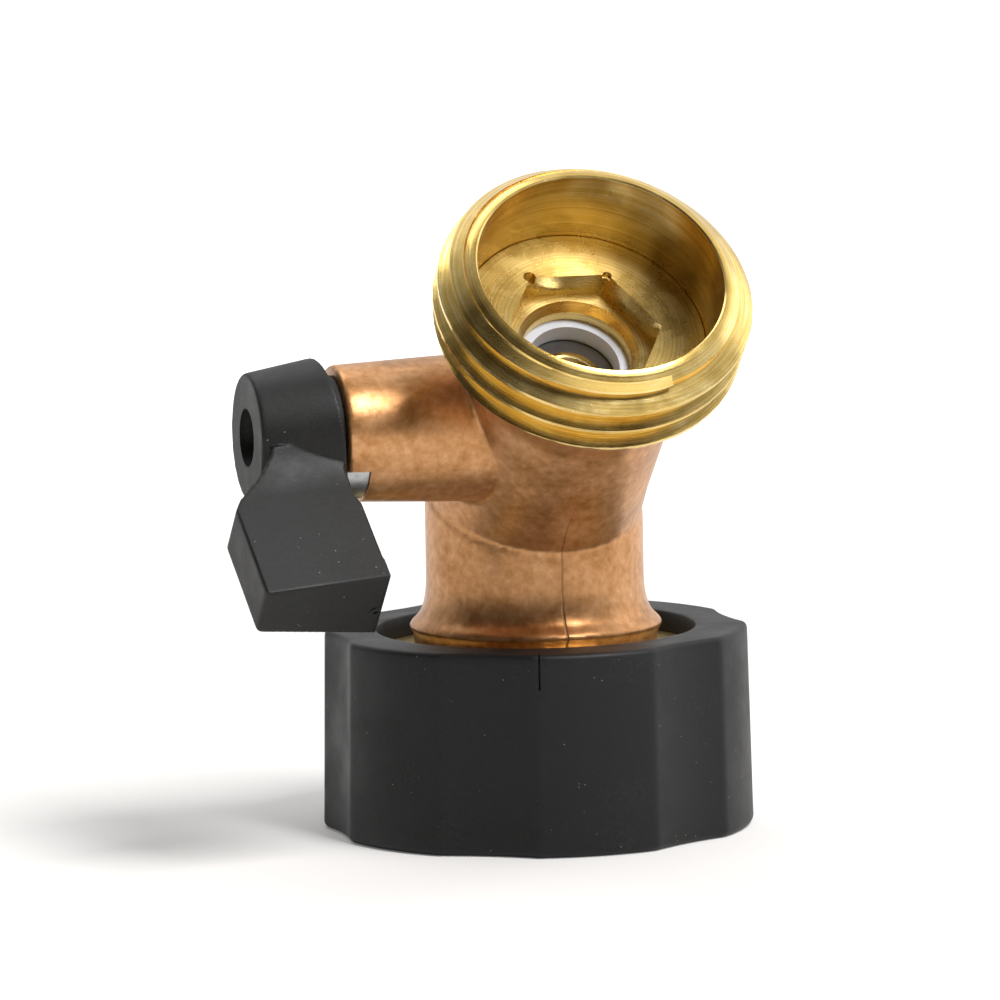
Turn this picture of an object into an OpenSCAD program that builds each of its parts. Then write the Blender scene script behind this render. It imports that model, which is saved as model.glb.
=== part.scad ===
// Swivel-inlet ball valve with a 45 degree hose outlet: one shut-off outlet section of a hose splitter.
// Millimetres, +Z up. The origin is the centre of the inlet, at the nut's lower face.
// The branch leaves the neck towards -Y and +Z, and the stem and lever point to -X. Shown closed.

/* [Inlet nut] */
// Height of the hand nut
nut_h = 17.5; // [16:0.1:22]
// Outside radius over the lobes at the lower face
nut_r = 18.9; // [18.2:0.1:23]
// Draft of the nut's side, degrees
nut_draft = 1.2; // [0:0.1:2]
// Number of lobes and of flutes
lobe_n = 6; // [4:1:9]
// Depth of a flute below the lobes
flute_d = 0.9; // [0.4:0.1:1.2]
// Radius of a flute's hollow
flute_r = 25; // [15:1:40]
// Radius of the hole in the nut's top
grip_hole_r = 14; // [12.5:0.1:14.6]
// Thickness of the plastic above the insert
grip_top_t = 1.8; // [1.2:0.1:2.4]
// Chamfer of the nut's lower edge
nut_edge = 0.5; // [0.2:0.1:0.8]

/* [Inlet thread and swivel] */
// Pitch of the hose thread, 11.5 turns to the inch
hose_pitch = 2.2087; // [1.8:0.0001:2.6]
// Crest radius of the female thread
female_crest_r = 12.19; // [12.0:0.01:12.4]
// Root radius of the female thread
female_root_r = 13.62; // [13.3:0.01:13.8]
// Outside radius of the insert
insert_r = 15.2; // [15:0.1:15.8]
// Thickness of the insert's inner flange
flange_t = 2; // [1.4:0.1:2.4]
// Radius of the spigot that carries the nut
spigot_r = 9.4; // [9:0.1:10]
// Bore of the spigot
inlet_bore_r = 6.5; // [5:0.1:6.9]
// Thickness of the split ring
ring_t = 1.3; // [1:0.1:1.5]
// Depth of the ring's groove in the spigot
ring_groove_d = 1.1; // [0.8:0.1:1.4]
// Reach of the ring beyond the spigot
ring_reach = 1.6; // [1:0.1:2]
// Gap between the ends of the split ring
ring_split = 1.6; // [1:0.1:3]
// Length of the spigot below the ring's groove
spigot_land = 1.8; // [1.2:0.1:2.2]
// Thickness of the hose washer
washer_t = 2.6; // [2:0.1:3]
// Outside radius of the hose washer
washer_r = 12.5; // [12.3:0.1:12.6]
// Bore radius of the hose washer
washer_bore_r = 8; // [7:0.1:8.8]

/* [Neck and branch] */
// Angle of the branch from the vertical, degrees
bend_a = 45; // [40:1:50]
// Height of the bend point above the nut's top
neck_rise = 11.3; // [10.5:0.1:15]
// Radius of the neck
neck_r = 9.55; // [9.4:0.05:10.4]
// Radius of the collar band under the neck
band_r = 10.7; // [10.3:0.1:11.4]
// Lip of the collar over the band
lip_w = 0.3; // [0.1:0.1:0.6]
// Radius of the branch at the bend point
branch_r = 9.2; // [9.1:0.05:9.8]
// Radius of the branch where its flare starts
branch_end_r = 9.4; // [9.3:0.05:10]
// Length of the branch from the bend point to the mouth
branch_l = 30.5; // [28.5:0.1:37]
// Length of the flare behind the thread
flare_l = 4.9; // [4:0.1:6]
// Water way through the bend
passage_r = 4.8; // [4:0.1:5.2]

/* [Outlet thread and mouth] */
// Crest radius of the male hose thread
male_crest_r = 13.49; // [13.3:0.01:13.6]
// Root radius of the male hose thread
male_root_r = 12.06; // [11.9:0.01:12.3]
// Length of the threaded part, mouth to runout
thread_l = 8.05; // [7.5:0.05:10]
// Distance of the first crest's middle from the mouth
first_crest = 2.6; // [2.3:0.1:2.8]
// Radius of the bore at the mouth
mouth_r = 10.64; // [10.4:0.02:10.8]
// Outside radius of the mouth's end face
mouth_face_r = 11.35; // [11.2:0.05:11.6]
// Depth from the mouth to the retainer's face
floor_d = 7.6; // [6:0.1:8.2]

/* [Ball and seats] */
// Distance of the ball's centre from the bend point
ball_l = 10.4; // [10:0.1:12.5]
// Radius of the ball
ball_r = 7.5; // [7:0.1:7.5]
// Radius of the ball's port
port_r = 4; // [3:0.1:4.2]
// Running gap between the ball and its seats
seat_gap = 0.05; // [0.02:0.01:0.1]
// Thickness of a seat at its rim
seat_t = 3.6; // [3:0.1:4]
// Reach of a seat past the ball, along the branch
seat_over = 0.6; // [0.4:0.1:0.8]
// Radius of the retainer's screwed shank
shank_r = 8.35; // [8:0.05:8.45]
// Thickness of the retainer's flange
retainer_flange_t = 1.5; // [1.2:0.1:2]
// Width across the flats of the retainer's socket
socket_af = 12; // [10:0.1:13]
// Depth of the retainer's socket
socket_d = 2.5; // [1.5:0.1:3]
// Radius of the retainer's round hole
retainer_hole_r = 4.8; // [4.2:0.1:5.2]

/* [Stem and boss] */
// Distance of the boss's end from the ball's centre
boss_l = 20; // [19:0.1:24]
// Radius of the boss at its end
boss_r = 5.86; // [5.8:0.02:6.6]
// Draft of the boss, degrees
boss_draft = 2.4; // [0:0.1:3]
// Radius of the stem in its sealed bore
stem_r = 3.45; // [3.2:0.05:3.5]
// Radius of the stem outside its collar
shaft_r = 3; // [2.9:0.05:3.1]
// Radius of the stem's collar
collar_r = 4.3; // [4:0.1:4.4]
// Thickness of the stem's collar
collar_t = 1.2; // [0.8:0.1:1.4]
// Radius of the counterbore for collar and bush
gland_r = 4.6; // [4.5:0.05:4.75]
// Thickness of the thrust washer
thrust_t = 0.6; // [0.4:0.1:0.8]
// Length of the gland bush
bush_l = 1.8; // [1.5:0.1:2.2]
// Section of the stem's rubber rings
oring_cs = 1; // [0.8:0.05:1.1]
// Width of the tang across its flats
tang_w = 2.9; // [2.4:0.1:3]
// Width of the stem's square
square_w = 4.2; // [3.8:0.1:4.2]
// Length of the square inside the lever
square_l = 1.4; // [1.2:0.1:2.4]

/* [Stop] */
// Depth of the stop's notch in the boss's end
notch_d = 2; // [1.5:0.1:2.2]
// Width of the plate's tab, degrees
tab_a = 40; // [25:1:45]
// Lead of the tab over the lever's arm, degrees
tab_lead = 4; // [0:1:8]
// Turn of the lever between its stops, degrees
turn_a = 90; // [80:1:95]
// Thickness of the stop plate
plate_t = 0.9; // [0.7:0.1:1.2]
// Radius of the stop plate
plate_r = 5; // [4.8:0.1:5.8]

/* [Lever] */
// Radius of the hub at its inner face
hub_in_r = 6.85; // [6.6:0.05:7.2]
// Radius of the hub at its outer face
hub_out_r = 5.5; // [5.2:0.05:6.4]
// Thickness of the hub
hub_t = 5.95; // [5.5:0.05:8]
// How far the hub's outer face stands beyond the arm's root
hub_cap_t = 0.55; // [0.2:0.05:1]
// Distance from the stem's axis to the arm's root, at 45 degrees to the arm
arm_root_r = 5.9; // [5.6:0.05:6.4]
// Lean of the lever's arm towards the branch, degrees
lever_cant = 6.1; // [0:0.1:7]
// Length of the arm from the stem's axis
arm_l = 18.5; // [16:0.1:18.6]
// Reach of the arm outside the hub's middle plane
arm_out = 8; // [5:0.1:10]
// Reach of the arm inside the hub's middle plane
arm_in = 3; // [2.8:0.1:3.1]
// Height of the arm's front face above the stem's axis
arm_front = 3.2; // [2.6:0.1:4]
// Depth of the arm's back face, outer edge
arm_back_out = 2.1; // [1.5:0.1:3]
// Depth of the arm's back face, inner edge
arm_back_in = 4.7; // [3:0.1:4.8]
// Distance from the stem's axis at which the arm has its full width
arm_wide_at = 9.5; // [8:0.1:12]
// Radius of the hollow between hub and arm
saddle_r = 10; // [9.5:0.1:14]
// Radius of the hub's screw well
well_r = 2.35; // [2.2:0.05:2.6]
// Thickness of the web under the screw's head
web_t = 0.9; // [0.8:0.1:1.4]

/* [Hidden] */
$fn = 96;
eps = 0.01;          // overshoot of a cut
run = 0.05;          // running gap of a turning fit
slip = 0.1;          // gap between faces that are not pressed together
crest_w = 0.3;       // flat on a thread's crest
root_w = 0.35;       // flat in a thread's root
big = 120;           // size of a cutting block
oring_squeeze = 0.01; // gap that stands for the ring's line contact

// Heights in the nut, from its top downwards
insert_top = nut_h - grip_top_t;
flange_bot = insert_top - flange_t;
ring_top = flange_bot - slip;
ring_bot = ring_top - ring_t;
spigot_bot = ring_bot - run - spigot_land;
washer_top = spigot_bot - run;
washer_bot = washer_top - washer_t;
female_lead = 1.6;
female_n = floor((washer_bot - 0.6 - female_lead) / hose_pitch) + 1;
relief_r = washer_r + 0.25;
shoulder_z = insert_top + run;
rib_n = 12;
rib_r = 0.7;
key_z = 5;
key_h = 1.6;
key_d = 0.6;

// Heights on the neck
lip_z = nut_h + 0.8;
flare_z = nut_h + 3.7;
bend_z = nut_h + neck_rise;
riser_r = passage_r + 0.4;
drill_over = 1.5;    // overrun of the two drillings that meet at the bend

// Places along the branch, from the bend point
seat_end = ball_r + seat_over;
cavity_r = ball_r + 0.3;
seat_r = cavity_r - run;
shoulder_l = ball_l - seat_end;
retainer_low = ball_l + seat_end + eps;
retainer_top = branch_l - floor_d;
retainer_ledge = retainer_top - retainer_flange_t;
flare_end = branch_l - thread_l;
flare_start = flare_end - flare_l;
male_n = floor((thread_l - first_crest) / hose_pitch) + 1;

// Places along the stem, from the ball's centre outwards
slot_z = ball_r * 2 / 3;
stem_low = ball_r + slip;
stem_bore_r = stem_r + run;
notch_z = boss_l - notch_d;
bush_top = notch_z - slip;
bush_low = bush_top - bush_l;
thrust_low = bush_low - run - thrust_t;
collar_low = thrust_low - run - collar_t;
gland_z = collar_low - run;
oring_r = stem_bore_r - oring_squeeze - oring_cs / 2;
oring_z1 = stem_low + (gland_z - stem_low) * 0.36;
oring_z2 = stem_low + (gland_z - stem_low) * 0.72;
plate_z = boss_l + slip;
plate_top = plate_z + plate_t;
square_top = plate_top + square_l;
web_low = square_top + slip;
head_z = web_low + web_t;
screw_r = 1.25;
screw_head_r = well_r - 0.25;
screw_head_t = 1.5;
screw_tip = plate_z - 2;
tab_in_r = gland_r + slip;
tab_out_r = boss_r - slip / 2;
plate_pocket_r = max(plate_r, tab_out_r) + 0.1; // pocket of the hub round the stop plate
stop_gap_a = 0.5;
hub_mid = plate_top + hub_t / 2 + run;
hub_face = hub_mid + hub_t / 2 + hub_cap_t;
arm_a = 270;         // direction of the closed arm, seen along the stem

// Frames: the branch's, with +Z along it, and the stem's, with +Z outwards and +X towards the mouth
module on_branch() translate([0, 0, bend_z]) rotate([bend_a, 0, 0]) children();
module on_stem() on_branch() translate([0, 0, ball_l]) rotate([0, -90, 0]) children();
module on_lever() on_stem() translate([0, 0, hub_mid]) rotate([lever_cant, 0, 0]) children();

// A block that ends at the plane where neck and branch meet, above it or below it
module mitre_side(up) translate([0, 0, bend_z]) rotate([bend_a / 2, 0, 0])
    translate([-big / 2, -big / 2, up ? 0 : -big]) cube(big);

// A sector of a disc between two angles, as an outline
module sector(r, a0, a1) polygon(concat([[0, 0]],
    [for (i = [0:12]) let (a = a0 + (a1 - a0) * i / 12) r / cos((a1 - a0) / 24) * [cos(a), sin(a)]]));

// One ring of a thread: root radius, crest radius, and the crest's middle at z = 0
module thread_ring(root, crest) {
    flank = (hose_pitch - root_w) / 2;
    over = crest > root ? -0.2 : 0.2;
    rotate_extrude() polygon([[root + over, -flank], [root, -flank], [crest, -crest_w / 2],
        [crest, crest_w / 2], [root, flank], [root + over, flank]]);
}

// Rubber ring of the stem, at its height
module oring(z) on_stem() translate([0, 0, z]) rotate_extrude() translate([oring_r, 0])
    circle(r = oring_cs / 2, $fn = 32);

module nut_grip() color("#26272a") difference() {
    rotate_extrude() polygon([[0, 0], [nut_r - nut_edge, 0], [nut_r, nut_edge],
        [nut_r - nut_h * tan(nut_draft), nut_h], [0, nut_h]]);
    for (i = [0:lobe_n - 1]) rotate([0, 0, -90 + (i + 0.5) * 360 / lobe_n])
        translate([nut_r + flute_r - flute_d, 0, 0]) rotate([0, -nut_draft, 0])
            translate([0, 0, -5]) cylinder(r = flute_r, h = nut_h + 10);
    translate([0, 0, -eps]) cylinder(r = grip_hole_r, h = nut_h + 2 * eps);
    difference() {
        translate([0, 0, -eps]) cylinder(r = insert_r, h = insert_top + eps);
        translate([0, 0, key_z]) difference() {
            cylinder(r = insert_r + 1, h = key_h);
            translate([0, 0, -eps]) cylinder(r = insert_r - key_d, h = key_h + 2 * eps);
        }
    }
    insert_ribs();
}

// Ribs that key the insert in the grip
module insert_ribs() for (i = [0:rib_n - 1]) rotate([0, 0, i * 360 / rib_n])
    translate([insert_r, 0, key_z + key_h + 2]) cylinder(r = rib_r, h = 4, $fn = 24);

module nut_insert() color("goldenrod") {
    difference() {
        union() {
            cylinder(r = insert_r, h = insert_top);
            insert_ribs();
        }
        translate([0, 0, -eps]) cylinder(r = female_root_r, h = washer_bot + eps);
        translate([0, 0, washer_bot - 0.3]) cylinder(r = relief_r, h = flange_bot - washer_bot + 0.3);
        translate([0, 0, -eps]) cylinder(r = spigot_r + 1.6 * run, h = nut_h);
        translate([0, 0, key_z]) difference() {
            cylinder(r = insert_r + 1, h = key_h);
            translate([0, 0, -eps]) cylinder(r = insert_r - key_d, h = key_h + 2 * eps);
        }
    }
    for (i = [0:female_n - 1]) translate([0, 0, female_lead + i * hose_pitch])
        thread_ring(female_root_r, female_crest_r);
}

module inlet_washer() color("#1b1b1b") translate([0, 0, washer_bot]) difference() {
    cylinder(r = washer_r, h = washer_t);
    translate([0, 0, -eps]) cylinder(r = washer_bore_r, h = washer_t + 2 * eps);
}

module swivel_ring() color("silver") translate([0, 0, ring_bot]) difference() {
    cylinder(r = spigot_r + ring_reach, h = ring_t);
    translate([0, 0, -eps]) cylinder(r = spigot_r - ring_groove_d + run, h = ring_t + 2 * eps);
    translate([0, -ring_split / 2, -eps]) cube([big, ring_split, ring_t + 2 * eps]);
}

// Outside of the neck: spigot, collar band with its lip, and the hollow flare up to the neck
module neck_solid() {
    flare_h = flare_z - lip_z;
    foot_r = band_r + lip_w;
    rotate_extrude() polygon(concat(
        [[0, spigot_bot], [spigot_r, spigot_bot], [spigot_r, shoulder_z], [band_r, shoulder_z],
         [band_r, lip_z - 2 * lip_w], [foot_r, lip_z - lip_w], [foot_r, lip_z]],
        [for (i = [1:6]) let (a = i * 15)
            [neck_r + (foot_r - neck_r) * (1 - sin(a)), lip_z + flare_h * (1 - cos(a))]],
        [[neck_r, bend_z + 2 * neck_r], [0, bend_z + 2 * neck_r]]));
}

// Outside of the branch: slim barrel, flare and the core of the thread
module branch_solid() rotate_extrude() polygon([[0, -2 * neck_r],
    [branch_r - (branch_end_r - branch_r) * 2 * neck_r / flare_start, -2 * neck_r],
    [branch_end_r, flare_start], [male_root_r, flare_end],
    [male_root_r, branch_l - (male_root_r - mouth_face_r)], [mouth_face_r, branch_l], [0, branch_l]]);

// Boss round the stem, with the stop's notch in its rim
module boss_solid() difference() {
    cylinder(r1 = boss_r + boss_l * tan(boss_draft), r2 = boss_r, h = boss_l);
    translate([0, 0, notch_z]) linear_extrude(notch_d + eps) sector(boss_r + 1,
        arm_a - tab_lead - turn_a - tab_a / 2 - stop_gap_a, arm_a - tab_lead + tab_a / 2 + stop_gap_a);
}

module body() color("#b8794f") difference() {
    union() {
        intersection() { neck_solid(); mitre_side(false); }
        intersection() { on_branch() branch_solid(); mitre_side(true); }
        on_stem() boss_solid();
        on_branch() intersection() {
            for (i = [0:male_n - 1]) translate([0, 0, branch_l - first_crest - i * hose_pitch])
                thread_ring(male_root_r, male_crest_r);
            translate([0, 0, flare_end]) cylinder(r = male_crest_r + 1, h = thread_l);
        }
    }
    // ring groove, inlet bore and the way through the bend
    translate([0, 0, ring_bot - run]) difference() {
        cylinder(r = spigot_r + eps, h = ring_t + 2 * run);
        translate([0, 0, -eps]) cylinder(r = spigot_r - ring_groove_d, h = ring_t + 1);
    }
    translate([0, 0, spigot_bot - eps]) cylinder(r = inlet_bore_r, h = lip_z - spigot_bot + 2 * eps);
    translate([0, 0, lip_z]) cylinder(r1 = inlet_bore_r, r2 = riser_r, h = 2);
    translate([0, 0, lip_z + 1]) cylinder(r = riser_r, h = bend_z + drill_over - lip_z - 1);
    on_branch() {
        translate([0, 0, -drill_over]) cylinder(r = passage_r, h = shoulder_l + drill_over + eps);
        translate([0, 0, shoulder_l]) cylinder(r = cavity_r, h = 2 * seat_end);
        translate([0, 0, retainer_low - eps])
            cylinder(r = shank_r + run, h = retainer_ledge - retainer_low + 1);
        translate([0, 0, retainer_ledge]) cylinder(r = mouth_r, h = branch_l);
    }
    on_stem() {
        cylinder(r = stem_bore_r, h = boss_l + 1);
        translate([0, 0, gland_z]) cylinder(r = gland_r, h = boss_l);
    }
}

module seat_retainer() color("gold") on_branch() difference() {
    union() {
        translate([0, 0, retainer_low]) cylinder(r = shank_r, h = retainer_top - retainer_low - eps);
        translate([0, 0, retainer_ledge]) cylinder(r = mouth_r - run, h = retainer_flange_t);
    }
    translate([0, 0, retainer_low - eps]) cylinder(r = retainer_hole_r, h = branch_l);
    translate([0, 0, retainer_top - socket_d]) cylinder(r = socket_af / sqrt(3), h = socket_d + 1, $fn = 6);
}

// A seat: a ring with a hollow that follows the ball. Its flat back is at z = seat_end
module seat() difference() {
    translate([0, 0, seat_end - seat_t]) cylinder(r = seat_r, h = seat_t);
    cylinder(r = port_r, h = seat_end + 1);
    sphere(r = ball_r + seat_gap);
}

module outer_seat() color("white") on_branch() translate([0, 0, ball_l]) seat();
module inner_seat() color("white") on_branch() translate([0, 0, ball_l]) rotate([180, 0, 0]) seat();

module ball() color("lightsteelblue") on_stem() difference() {
    sphere(r = ball_r);
    rotate([90, 0, 0]) translate([0, 0, -ball_r - 1]) cylinder(r = port_r, h = 2 * ball_r + 2);
    translate([-ball_r - 1, -tang_w / 2 - run, slot_z]) cube([2 * ball_r + 2, tang_w + 2 * run, ball_r]);
}

module stem() color("goldenrod") on_stem() difference() {
    union() {
        intersection() {
            translate([0, 0, slot_z + slip]) cylinder(r = stem_r, h = ball_r);
            translate([-stem_r, -tang_w / 2, 0]) cube([2 * stem_r, tang_w, stem_low + 1]);
        }
        translate([0, 0, stem_low]) cylinder(r = stem_r, h = collar_low - stem_low);
        translate([0, 0, collar_low]) cylinder(r = collar_r, h = collar_t);
        translate([0, 0, collar_low + collar_t - eps]) cylinder(r = shaft_r,
            h = plate_z - collar_low - collar_t + eps);
        translate([-square_w / 2, -square_w / 2, plate_z - eps])
            cube([square_w, square_w, square_top - plate_z + eps]);
    }
    for (z = [oring_z1, oring_z2]) translate([0, 0, z - 0.65 * oring_cs]) difference() {
        cylinder(r = stem_r + eps, h = 1.3 * oring_cs);
        translate([0, 0, -eps]) cylinder(r = oring_r - oring_cs / 2, h = 2 * oring_cs);
    }
    translate([0, 0, screw_tip - 1]) cylinder(r = screw_r, h = big);
}

module stem_oring_inner() color("#202020") oring(oring_z1);
module stem_oring_outer() color("#202020") oring(oring_z2);

module stem_washer() color("white") on_stem() translate([0, 0, thrust_low]) difference() {
    cylinder(r = collar_r, h = thrust_t);
    translate([0, 0, -eps]) cylinder(r = shaft_r + run, h = thrust_t + 2 * eps);
}

module gland_bush() color("goldenrod") on_stem() translate([0, 0, bush_low]) difference() {
    cylinder(r = gland_r, h = bush_l);
    translate([0, 0, -eps]) cylinder(r = shaft_r + run, h = bush_l + 2 * eps);
}

module stop_plate() color("silver") on_stem() difference() {
    union() {
        translate([0, 0, plate_z]) cylinder(r = plate_r, h = plate_t);
        intersection() {
            translate([0, 0, notch_z + slip]) cylinder(r = tab_out_r, h = plate_top - notch_z - slip);
            translate([0, 0, notch_z]) linear_extrude(big) sector(boss_r + 1,
                arm_a - tab_lead - tab_a / 2, arm_a - tab_lead + tab_a / 2);
        }
    }
    translate([0, 0, notch_z]) cylinder(r = tab_in_r, h = plate_z - notch_z);
    translate([-square_w / 2 - run, -square_w / 2 - run, 0])
        cube([square_w + 2 * run, square_w + 2 * run, big]);
}

// The arm's outline from the side: hollow saddle, flat front, back face and tip
module arm_side() {
    r45 = arm_root_r * cos(45);
    saddle_t = arm_front + saddle_r;
    saddle_p = r45 + sqrt(saddle_r * saddle_r - (saddle_t - r45) * (saddle_t - r45));
    a0 = asin((saddle_p - r45) / saddle_r);
    polygon(concat([[0, 0], [r45, r45]],
        [for (i = [1:8]) let (a = a0 * (1 - i / 8))
            [saddle_p - saddle_r * sin(a), saddle_t - saddle_r * cos(a)]],
        [[arm_l, arm_front], [arm_l, -arm_back_in], [arm_root_r * sin(40), -arm_root_r * cos(40)]]));
}

// The arm's outline from the front: hub width, flared outer side, stepped inner side
module arm_front_outline() polygon([[0, -hub_t / 2], [0.55 * arm_wide_at, -hub_t / 2 + 0.3],
    [arm_wide_at, -hub_t / 2 + 0.35], [arm_wide_at + 1, -arm_in], [arm_l, -arm_in],
    [arm_l, arm_out - 0.8], [arm_l - 0.8, arm_out],
    [arm_wide_at, arm_out - 0.2], [0.42 * arm_wide_at, hub_t / 2 + 0.25], [0, hub_t / 2]]);

module lever() color("#1d1c1b") difference() {
    union() {
        intersection() {
            on_stem() translate([0, 0, plate_z]) cylinder(r1 = hub_in_r, r2 = hub_out_r, h = hub_face - plate_z);
            on_lever() translate([-big / 2, -big / 2, -hub_t / 2]) cube(big);
        }
        on_lever() difference() {
            intersection() {
                multmatrix([[0, 1, 0, 0], [-1, 0, 0, 0], [0, 0, 1, 0]]) translate([0, 0, -big / 2])
                    linear_extrude(big) arm_side();
                multmatrix([[0, 0, 1, 0], [-1, 0, 0, 0], [0, 1, 0, 0]]) translate([0, 0, -big / 2])
                    linear_extrude(big) arm_front_outline();
            }
            back_a = atan((arm_back_in - arm_back_out) / (arm_in + arm_out));
            translate([-arm_back_in, -arm_wide_at / 2, -arm_in]) rotate([0, back_a, 0])
                translate([-big, -big, -big / 2]) cube(big);
        }
    }
    on_stem() {
        translate([0, 0, notch_z]) cylinder(r = plate_pocket_r, h = plate_top - notch_z);
        translate([0, 0, notch_z]) cylinder(r = hub_in_r + 1, h = boss_l + slip - notch_z);
        translate([-square_w / 2 - run, -square_w / 2 - run, plate_z])
            cube([square_w + 2 * run, square_w + 2 * run, web_low - plate_z]);
        translate([0, 0, plate_z]) cylinder(r = screw_r + slip, h = big);
        translate([0, 0, head_z]) cylinder(r = well_r, h = big);
    }
}

module lever_screw() color("silver") on_stem() difference() {
    union() {
        translate([0, 0, screw_tip]) cylinder(r = screw_r, h = head_z - screw_tip + eps);
        translate([0, 0, head_z]) cylinder(r = screw_head_r, h = screw_head_t);
    }
    for (a = [0, 90]) rotate([0, 0, a]) translate([-screw_head_r * 0.6, -0.25, head_z + screw_head_t - 0.8])
        cube([screw_head_r * 1.2, 0.5, 1]);
}

nut_grip();
nut_insert();
inlet_washer();
swivel_ring();
body();
seat_retainer();
outer_seat();
inner_seat();
ball();
stem();
stem_oring_inner();
stem_oring_outer();
stem_washer();
gland_bush();
stop_plate();
lever();
lever_screw();
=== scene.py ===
import math

import bpy
import mathutils
from mathutils import Matrix, Vector


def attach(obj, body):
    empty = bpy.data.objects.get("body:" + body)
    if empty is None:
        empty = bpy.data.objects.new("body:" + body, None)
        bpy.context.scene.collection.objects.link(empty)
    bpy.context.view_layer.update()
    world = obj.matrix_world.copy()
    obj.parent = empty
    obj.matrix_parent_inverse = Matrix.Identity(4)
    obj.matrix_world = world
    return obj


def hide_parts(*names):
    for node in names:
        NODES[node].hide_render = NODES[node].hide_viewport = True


bl_info = {
    "name": "Hose Splitter Outlet Valve",
    "version": (1, 0, 0),
    "blender": (4, 5, 0),
    "location": "3D View > Sidebar > Hose Valve",
    "description": "Builds a shut-off outlet section of a garden hose splitter, with its stage",
    "category": "Add Mesh",
}

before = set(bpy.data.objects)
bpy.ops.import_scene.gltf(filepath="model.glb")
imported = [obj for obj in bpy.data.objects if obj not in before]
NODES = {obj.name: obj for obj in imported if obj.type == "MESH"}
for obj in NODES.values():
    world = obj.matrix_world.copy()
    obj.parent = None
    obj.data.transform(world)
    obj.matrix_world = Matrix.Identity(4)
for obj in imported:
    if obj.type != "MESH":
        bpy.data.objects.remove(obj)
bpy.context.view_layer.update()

MM = 0.001
PITCH = 25.4 / 11.5          # hose thread, 11.5 turns to the inch
NUT_H, NUT_R = 17.5, 18.9    # hand nut: height, radius over the lobes at its foot
NUT_DRAFT = 1.2              # degrees
NUT_RIM_R = 16.3             # the nut keeps its plain round wall inside this radius
FLUTE_R = 25                 # hollow of a flute
LOBE_A = math.radians(60)    # one lobe and its flute
BEND_Z = 28.8                # height of the bend point
BRANCH_L = 30.5              # bend point to mouth
FLARE_END = BRANCH_L - 8.05  # where the paint stops and the bare thread starts
BALL_L = 10.4                # bend point to the ball's centre
FLOOR_L = BRANCH_L - 7.6     # face of the seat retainer
BOSS_L = 20.0                # ball's centre to the boss's end
HUB_MID = 24.025             # ball's centre to the hub's middle plane
HUB_T = 5.95                 # thickness of the lever's hub
LEVER_CANT = 6.1             # degrees that the lever leans out
ARM_L = 18.5                 # hub's centre to the arm's tip
FIRST_CREST = 2.6            # mouth to the first ridge's middle, on the branch's underside
THREAD_ROOT = 12.06          # root radius of the outlet's thread
MOUTH_FACE_R = 11.35         # outside radius of the mouth's end face
MOUTH_R = 10.64              # bore at the mouth
FEMALE_ROOT, FEMALE_CREST = 13.62, 12.19
SOCKET_AF = 12               # hexagon of the retainer, across flats
NOTCH_FROM, NOTCH_TO = 155.5, 286.5  # stop notch in the boss, degrees
QUARTER_STEPS = (0, 22.5, 45, 67.5, 90)

# Frames: the branch's has +Z along it; the stem's has +Z outwards and +X towards the mouth
ON_BRANCH = Matrix.Translation((0, 0, BEND_Z * MM)) @ Matrix.Rotation(math.radians(45), 4, "X")
ON_STEM = ON_BRANCH @ Matrix.Translation((0, 0, BALL_L * MM)) @ Matrix.Rotation(math.radians(-90), 4, "Y")


# ---------------------------------------------------------------- modelling

def deselect():
    """Leaves object mode with nothing selected."""
    if bpy.context.object and bpy.context.object.mode != "OBJECT":
        bpy.ops.object.mode_set(mode="OBJECT")
    bpy.ops.object.select_all(action="DESELECT")


def pick(obj):
    """Makes obj the one selected, active object."""
    deselect()
    obj.select_set(True)
    bpy.context.view_layer.objects.active = obj
    return obj


def settle(obj, matrix=None):
    """Puts obj at matrix and applies it, so its place is in its mesh."""
    pick(obj)
    if matrix is not None:
        obj.matrix_world = matrix @ obj.matrix_world
    bpy.ops.object.transform_apply(location=True, rotation=True, scale=True)
    return obj


def edit(obj, mode="VERT"):
    """Opens obj in edit mode with everything selected."""
    pick(obj)
    bpy.ops.object.mode_set(mode="EDIT")
    bpy.ops.mesh.select_mode(type=mode)
    bpy.ops.mesh.select_all(action="SELECT")


def tidy_normals():
    """In edit mode: merges doubles and turns every face outwards."""
    bpy.ops.mesh.select_all(action="SELECT")
    bpy.ops.mesh.remove_doubles(threshold=1e-7)
    bpy.ops.mesh.normals_make_consistent(inside=False)
    bpy.ops.object.mode_set(mode="OBJECT")


def turned(name, profile, segments=192, ring=False):
    """A turned piece: a circle drawn out along (radius, height) steps in mm.

    A ring closes on its first step.
    """
    deselect()
    r, z = profile[0]
    bpy.ops.mesh.primitive_circle_add(vertices=segments, radius=r * MM, location=(0, 0, z * MM),
                                      fill_type="NOTHING" if ring else "NGON")
    obj = settle(bpy.context.object)
    obj.name = name
    edit(obj)
    for r1, z1 in profile[1:]:
        bpy.ops.mesh.extrude_region_move(TRANSFORM_OT_translate={"value": (0, 0, (z1 - z) * MM)})
        if abs(r1 - r) > 1e-9:
            bpy.ops.transform.resize(value=(r1 / r, r1 / r, 1), center_override=(0, 0, z1 * MM))
        r, z = r1, z1
    if ring:
        bpy.ops.mesh.select_all(action="DESELECT")
        bpy.ops.mesh.select_non_manifold()
        bpy.ops.mesh.bridge_edge_loops()
    tidy_normals()
    return obj


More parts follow.
